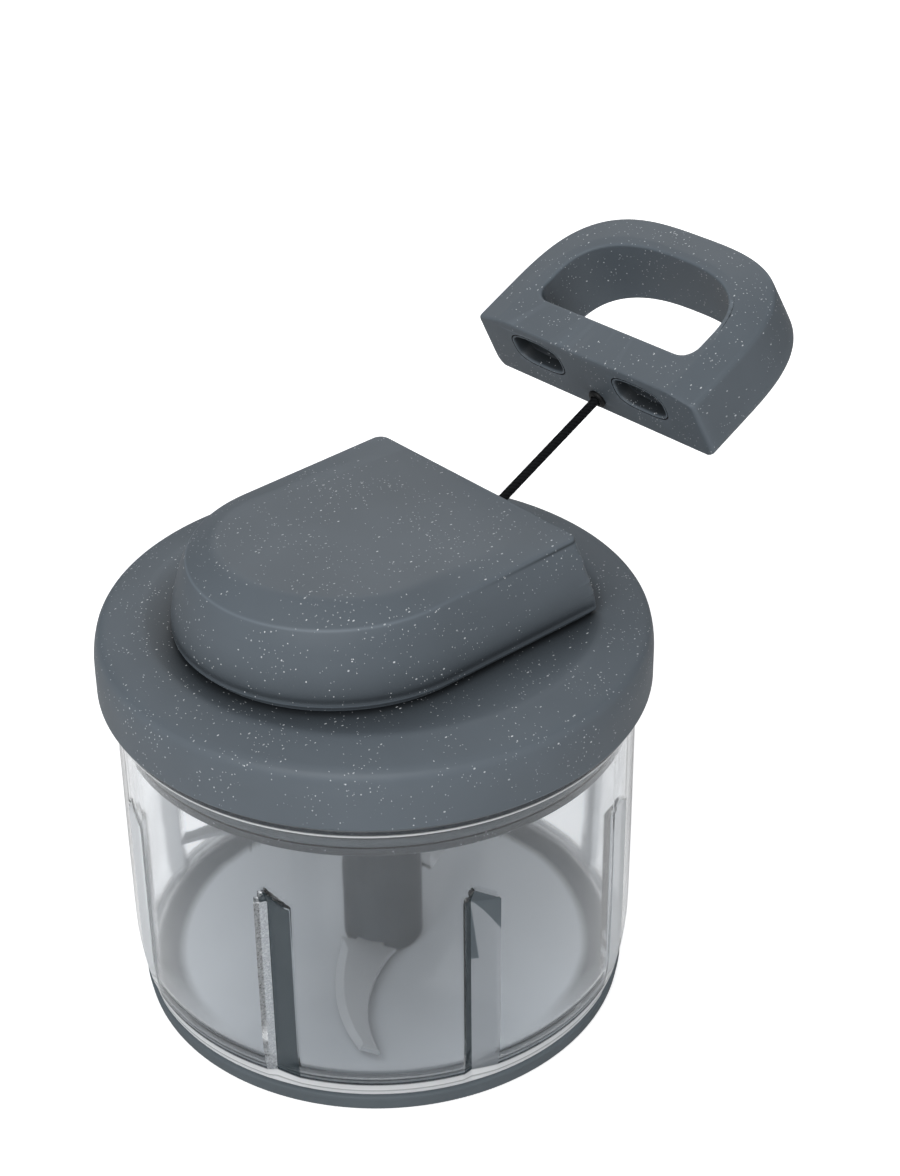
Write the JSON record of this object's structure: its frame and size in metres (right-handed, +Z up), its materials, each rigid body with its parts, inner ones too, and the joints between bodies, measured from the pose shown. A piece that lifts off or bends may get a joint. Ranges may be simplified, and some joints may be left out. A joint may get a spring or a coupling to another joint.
{
  "type": "pull cord food chopper",
  "caption": "Hand food chopper: clear ribbed bowl on a soft foot, lid with D-shaped cord housing, D-ring handle on a pull cord that winds on a sprung spool and turns the blades.",
  "frame": {"origin": "centre of the foot's flat underside, on the bowl's and the blades' axis", "axes": "+Z up along the bowl's axis; +X towards the handle, along which the cord leaves the housing; the part is symmetric about the XZ plane but for its blades, cord winding and clutch"},
  "size_m": [0.1866, 0.135, 0.1686],
  "materials": {
    "body_plastic": "fine matt texture, blue grey with sparse light flecks",
    "foot_rubber": "matt",
    "clear_plastic": "clear, polished",
    "seal_silicone": "matt",
    "guide_plastic": "smooth",
    "inner_plastic": "smooth",
    "bush_brass": "turned",
    "spring_steel": "bright",
    "blade_steel": "satin, ground edge",
    "cord_black": "braided"
  },
  "bodies": {
    "bowl": {"base_foot": "foot_rubber", "bowl": "clear_plastic"},
    "lid": {"lid_body": "body_plastic", "lid_seal": "seal_silicone", "mechanism_housing": "body_plastic", "cord_guide": "guide_plastic", "mechanism_cover": "inner_plastic", "hub_bush": "bush_brass", "cover_screw_1": "spring_steel", "cover_screw_2": "spring_steel", "cover_screw_3": "spring_steel", "housing_screw_1": "spring_steel", "housing_screw_2": "spring_steel", "housing_screw_3": "spring_steel", "spool_axle": "spring_steel", "recoil_spring": "spring_steel"},
    "spool": {"cord_spool": "inner_plastic", "cord_winding": "cord_black", "clutch_pawl_1": "bush_brass", "clutch_pawl_2": "bush_brass", "clutch_pawl_3": "bush_brass"},
    "drive": {"drive_hub": "inner_plastic"},
    "blades": {"blade_hub": "inner_plastic", "blade_lower": "blade_steel", "blade_middle": "blade_steel", "blade_upper": "blade_steel"},
    "handle": {"handle_upper": "body_plastic", "handle_lower": "body_plastic", "handle_screw_1": "spring_steel", "handle_screw_2": "spring_steel", "cord_collar": "guide_plastic", "cord_knot": "cord_black", "pull_cord": "cord_black"}
  },
  "joints": [
    {"name": "lid_lift", "type": "slide", "parent": "bowl", "child": "lid", "axis": [0, 0, 1], "range_m": [0, 0.1]},
    {"name": "cord_pull", "type": "slide", "parent": "lid", "child": "handle", "axis": [0.8949, 0, 0.4462], "range_m": [-0.041, 0.255], "stiffness_N_per_m": 10, "springref_m": -0.25, "deforming": ["pull_cord"]},
    {"name": "spool_spin", "type": "hinge", "parent": "lid", "child": "spool", "pos_m": [0, 0, 0.115], "axis": [0, 0, 1], "range_deg": [-790, 135]},
    {"name": "drive_spin", "type": "hinge", "parent": "lid", "child": "drive", "pos_m": [0, 0, 0.09], "axis": [0, 0, 1], "range_deg": [-790, 135]},
    {"name": "blade_spin", "type": "hinge", "parent": "bowl", "child": "blades", "pos_m": [0, 0, 0.03], "axis": [0, 0, 1], "range_deg": [-790, 135]}
  ],
  "couplings": [
    {"joint": "spool_spin", "follows": "cord_pull", "rad_per_m": -52.97},
    {"joint": "drive_spin", "follows": "cord_pull", "rad_per_m": -52.97},
    {"joint": "blade_spin", "follows": "cord_pull", "rad_per_m": -52.97}
  ]
}
